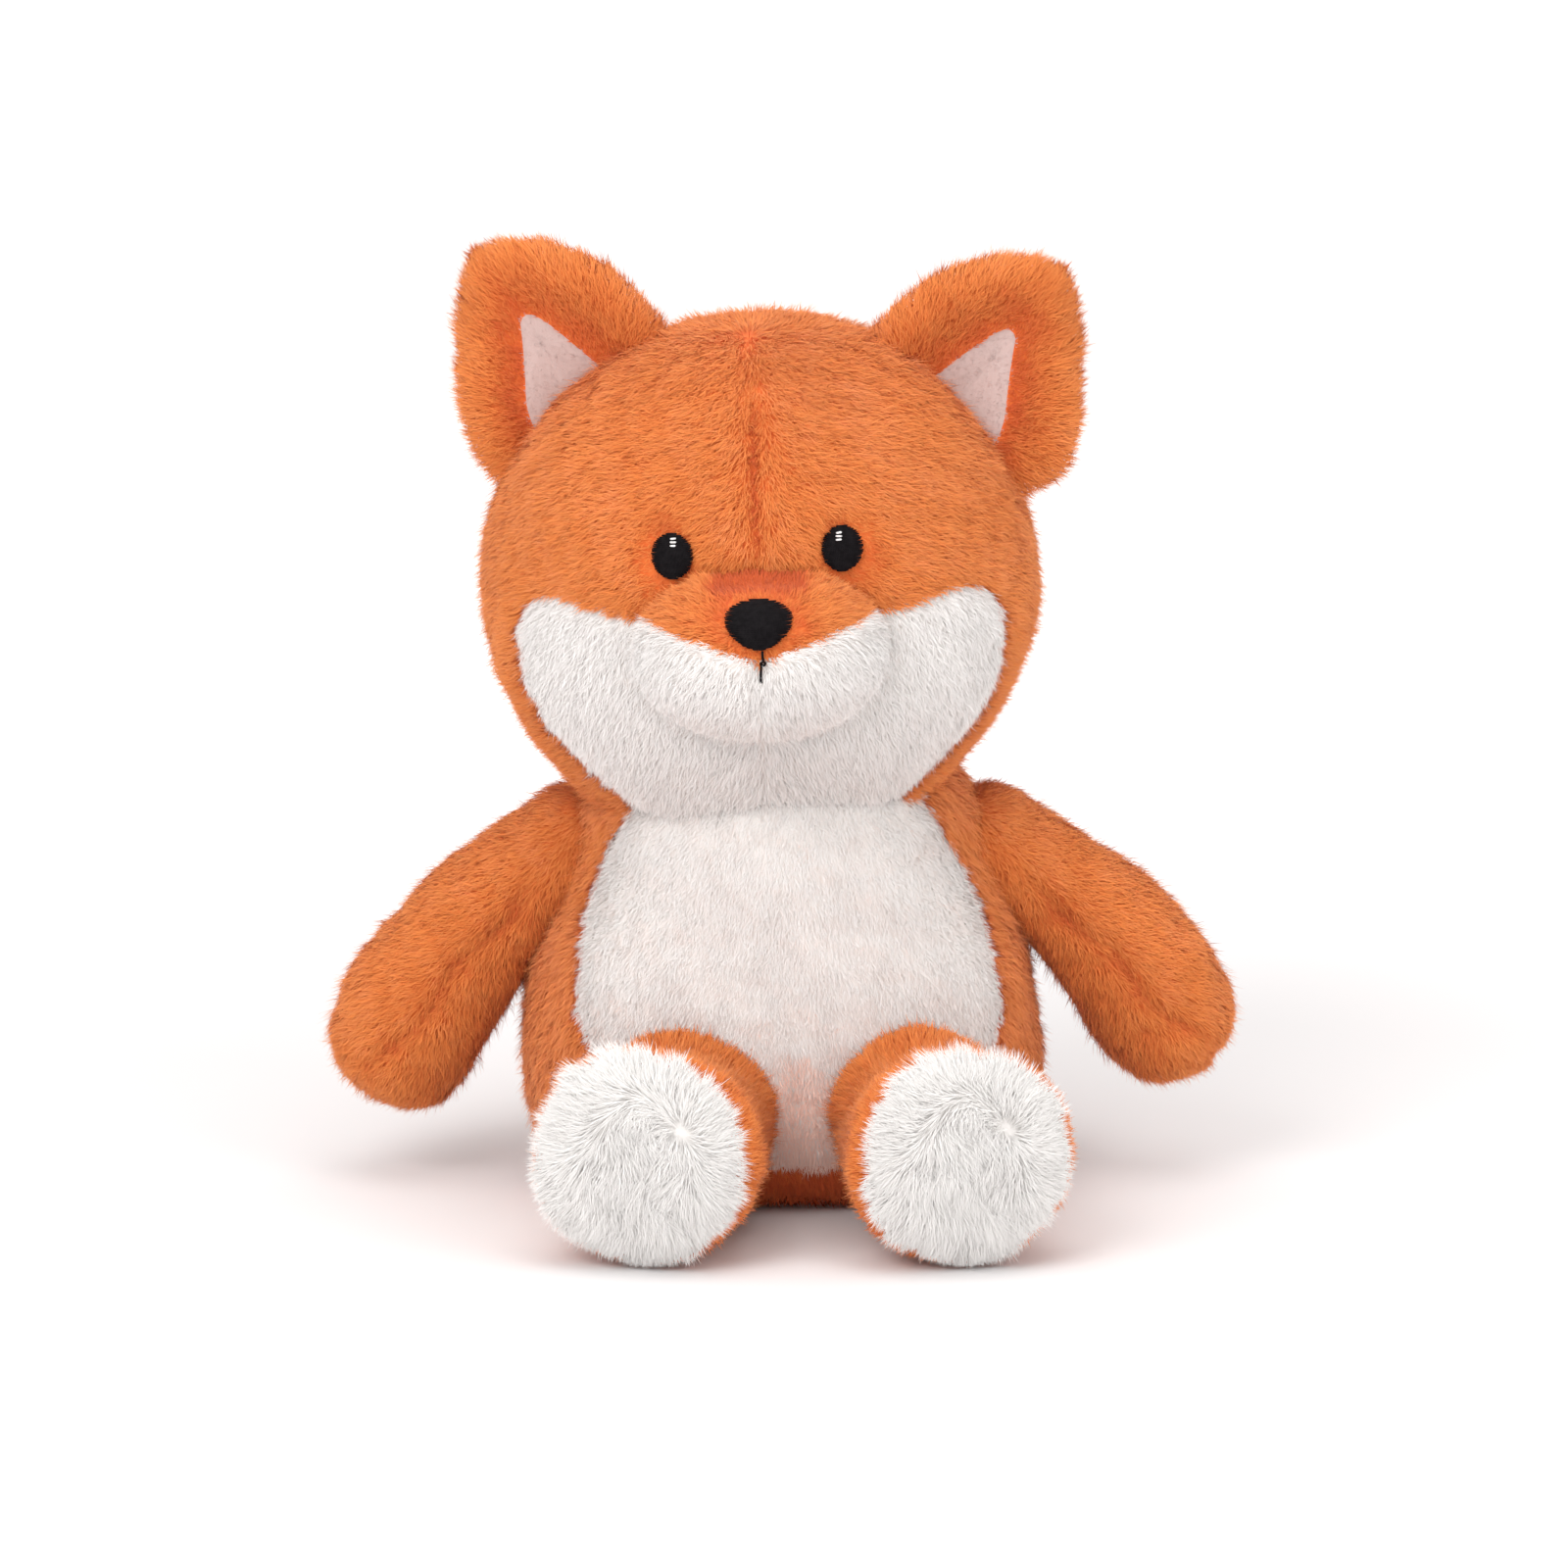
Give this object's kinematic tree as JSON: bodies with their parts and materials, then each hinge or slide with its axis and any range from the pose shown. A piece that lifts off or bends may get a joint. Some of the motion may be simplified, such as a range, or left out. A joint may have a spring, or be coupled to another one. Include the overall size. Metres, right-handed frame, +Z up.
{
  "type": "plush fox",
  "caption": "Seated soft plush fox with round head, upright ears, embroidered face, jointed soft limbs and a tail lying behind it.",
  "frame": {"origin": "on the floor plane, on the flat of the seat, below the neck joint", "axes": "+Z up, the fox faces -Y, +X to the viewer's right"},
  "size_m": [0.2382, 0.2437, 0.2486],
  "materials": {
    "orange_plush": "short soft pile",
    "white_plush": "short soft pile",
    "long_white_plush": "long shaggy pile",
    "ear_lining": "very short pile",
    "black_thread": "satin stitch",
    "white_thread": "satin stitch",
    "filling": "loose polyester fibre"
  },
  "bodies": {
    "torso": {"body_stuffing": "filling", "belly_panel": "white_plush", "body_panel_left": "orange_plush", "body_panel_right": "orange_plush", "seat_panel": "orange_plush"},
    "neck": {"neck_stuffing": "filling"},
    "head": {"head_stuffing": "filling", "forehead_left": "orange_plush", "forehead_right": "orange_plush", "cheek_left": "white_plush", "cheek_right": "white_plush", "head_back_left": "orange_plush", "head_back_right": "orange_plush", "muzzle_top": "orange_plush", "muzzle_bottom": "white_plush", "muzzle_stuffing": "filling", "nose": "black_thread", "mouth_stitch": "black_thread", "eye_left": "black_thread", "eye_right": "black_thread", "eye_highlight_left": "white_thread", "eye_highlight_right": "white_thread"},
    "ear_left": {"ear_left": "orange_plush", "ear_inner_left": "ear_lining"},
    "ear_right": {"ear_right": "orange_plush", "ear_inner_right": "ear_lining"},
    "shoulder_left": {"shoulder_left_stuffing": "filling"},
    "arm_left": {"arm_left_stuffing": "filling", "arm_left_upper_panel": "orange_plush", "arm_left_lower_panel": "orange_plush"},
    "shoulder_right": {"shoulder_right_stuffing": "filling"},
    "arm_right": {"arm_right_stuffing": "filling", "arm_right_upper_panel": "orange_plush", "arm_right_lower_panel": "orange_plush"},
    "hip_left": {"hip_left_stuffing": "filling"},
    "leg_left": {"leg_left_stuffing": "filling", "leg_left_panel": "orange_plush", "sole_left_panel": "long_white_plush"},
    "hip_right": {"hip_right_stuffing": "filling"},
    "leg_right": {"leg_right_stuffing": "filling", "leg_right_panel": "orange_plush", "sole_right_panel": "long_white_plush"},
    "tail_root": {"tail_root_stuffing": "filling"},
    "tail": {"tail_stuffing": "filling", "tail_panel": "orange_plush", "tail_tip_panel": "white_plush"}
  },
  "joints": [
    {"name": "head_turn", "type": "hinge", "parent": "torso", "child": "neck", "pos_m": [0, 0, 0.085], "axis": [0, 0, 1], "range_deg": [-30, 30], "stiffness_Nm_per_rad": 0.25},
    {"name": "head_nod", "type": "hinge", "parent": "neck", "child": "head", "pos_m": [0, 0, 0.085], "axis": [1, 0, 0], "range_deg": [-12, 12], "stiffness_Nm_per_rad": 0.9},
    {"name": "ear_left_fold", "type": "hinge", "parent": "head", "child": "ear_left", "pos_m": [-0.05517, -0.002, 0.21048], "axis": [0.723, 0, 0.6909], "range_deg": [-12, 12], "stiffness_Nm_per_rad": 0.02},
    {"name": "ear_right_fold", "type": "hinge", "parent": "head", "child": "ear_right", "pos_m": [0.04734, -0.002, 0.20726], "axis": [0.6782, 0, -0.7349], "range_deg": [-12, 12], "stiffness_Nm_per_rad": 0.02},
    {"name": "arm_left_swing", "type": "hinge", "parent": "torso", "child": "shoulder_left", "pos_m": [-0.055, 0, 0.0905], "axis": [-1, 0, 0], "range_deg": [-12, 40], "stiffness_Nm_per_rad": 0.12},
    {"name": "arm_left_lift", "type": "hinge", "parent": "shoulder_left", "child": "arm_left", "pos_m": [-0.055, 0, 0.0905], "axis": [0, 1, 0], "range_deg": [-4, 40], "stiffness_Nm_per_rad": 0.12},
    {"name": "leg_left_splay", "type": "hinge", "parent": "torso", "child": "hip_left", "pos_m": [-0.0243, -0.05, 0.028], "axis": [0, 0, -1], "range_deg": [-6, 18], "stiffness_Nm_per_rad": 0.15},
    {"name": "leg_left_swing", "type": "hinge", "parent": "hip_left", "child": "leg_left", "pos_m": [-0.0243, -0.05, 0.028], "axis": [-1, 0, 0], "range_deg": [-25, 30], "stiffness_Nm_per_rad": 0.15},
    {"name": "arm_right_swing", "type": "hinge", "parent": "torso", "child": "shoulder_right", "pos_m": [0.055, 0, 0.0905], "axis": [-1, 0, 0], "range_deg": [-12, 40], "stiffness_Nm_per_rad": 0.12},
    {"name": "arm_right_lift", "type": "hinge", "parent": "shoulder_right", "child": "arm_right", "pos_m": [0.055, 0, 0.0905], "axis": [0, -1, 0], "range_deg": [-4, 40], "stiffness_Nm_per_rad": 0.12},
    {"name": "leg_right_splay", "type": "hinge", "parent": "torso", "child": "hip_right", "pos_m": [0.0357, -0.05, 0.028], "axis": [0, 0, 1], "range_deg": [-6, 18], "stiffness_Nm_per_rad": 0.15},
    {"name": "leg_right_swing", "type": "hinge", "parent": "hip_right", "child": "leg_right", "pos_m": [0.0357, -0.05, 0.028], "axis": [-1, 0, 0], "range_deg": [-25, 30], "stiffness_Nm_per_rad": 0.15},
    {"name": "tail_swing", "type": "hinge", "parent": "torso", "child": "tail_root", "pos_m": [0.0057, 0.049, 0.0165], "axis": [0, 0, 1], "range_deg": [-18, 18], "stiffness_Nm_per_rad": 0.08},
    {"name": "tail_lift", "type": "hinge", "parent": "tail_root", "child": "tail", "pos_m": [0.0057, 0.049, 0.0165], "axis": [1, 0, 0], "range_deg": [0, 15], "stiffness_Nm_per_rad": 0.08}
  ]
}
